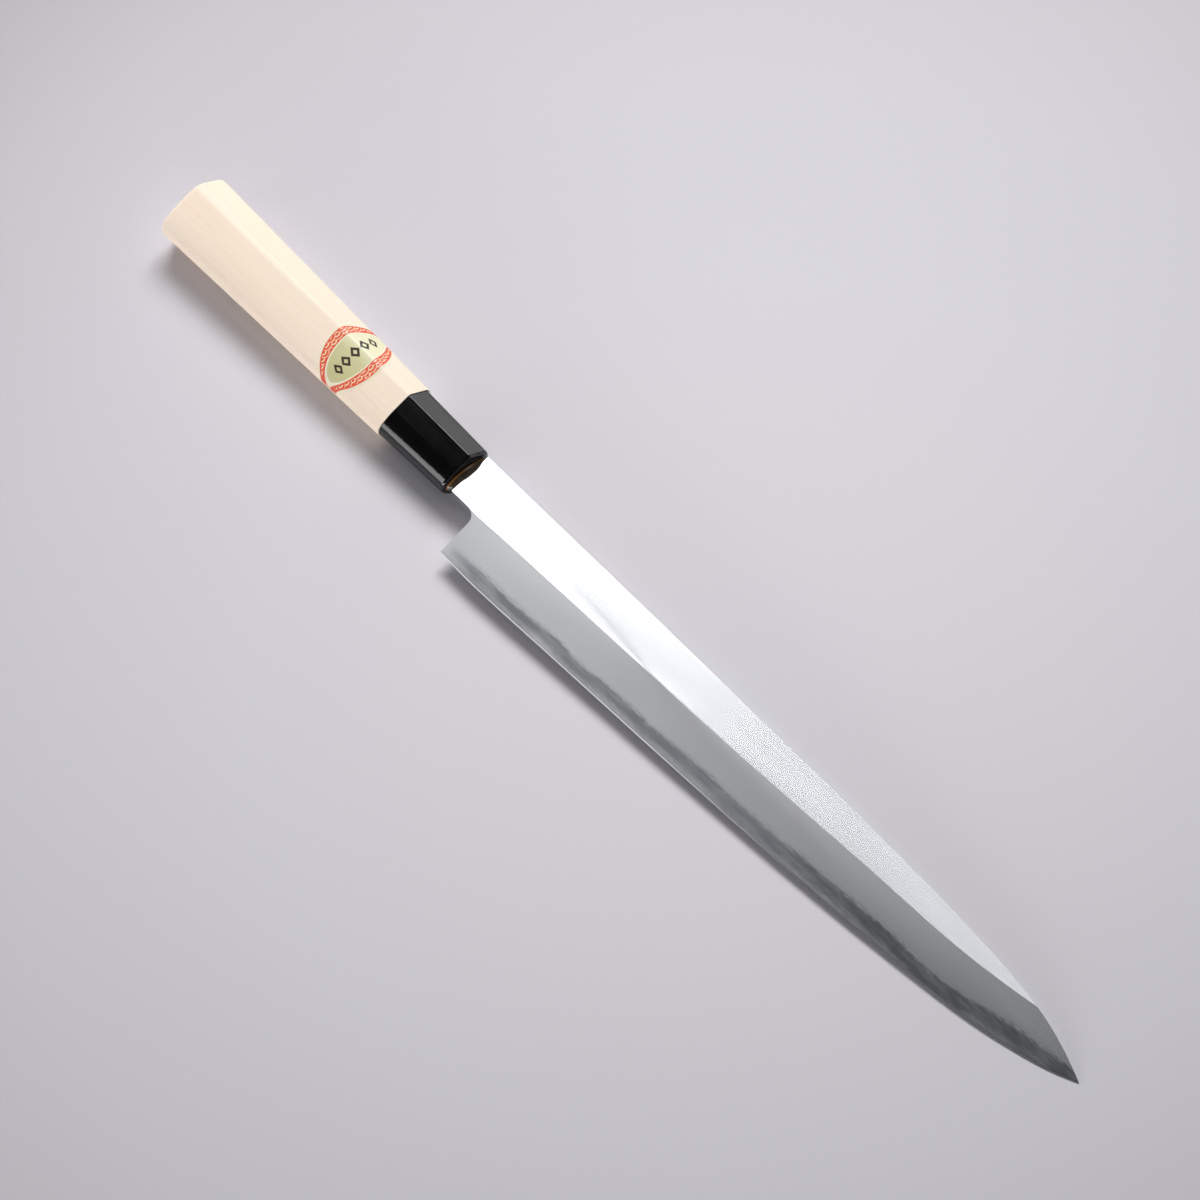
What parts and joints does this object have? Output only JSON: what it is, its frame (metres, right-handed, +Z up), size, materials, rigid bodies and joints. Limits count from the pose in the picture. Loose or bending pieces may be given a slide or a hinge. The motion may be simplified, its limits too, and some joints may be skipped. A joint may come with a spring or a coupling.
{
  "type": "yanagiba knife",
  "caption": "Long single-bevel slicing knife with a narrow pointed blade, a hollow-ground back and a D-section wooden handle with a dark ferrule.",
  "frame": {"origin": "centre of the bounding box on its lowest plane, which is the surface the knife lies on with the underside of its handle and its tip", "axes": "+X along the knife toward the tip, +Y across the blade from the edge to the spine, +Z up, out of the bevelled side"},
  "size_m": [0.423, 0.0386, 0.0213],
  "materials": {
    "soft_iron": "ground along the blade to a fine satin",
    "hard_steel": "ground and honed, darker than the iron",
    "magnolia_wood": "bare and sanded smooth",
    "black_ferrule": "polished",
    "seal_resin": "cast and glossy, with an amber rim",
    "label_paper": null
  },
  "bodies": {
    "root": {"soft_iron_cladding": "soft_iron", "hard_steel_edge": "hard_steel", "handle": "magnolia_wood", "ferrule": "black_ferrule", "mouth_seal": "seal_resin", "paper_label": "label_paper"}
  },
  "joints": []
}
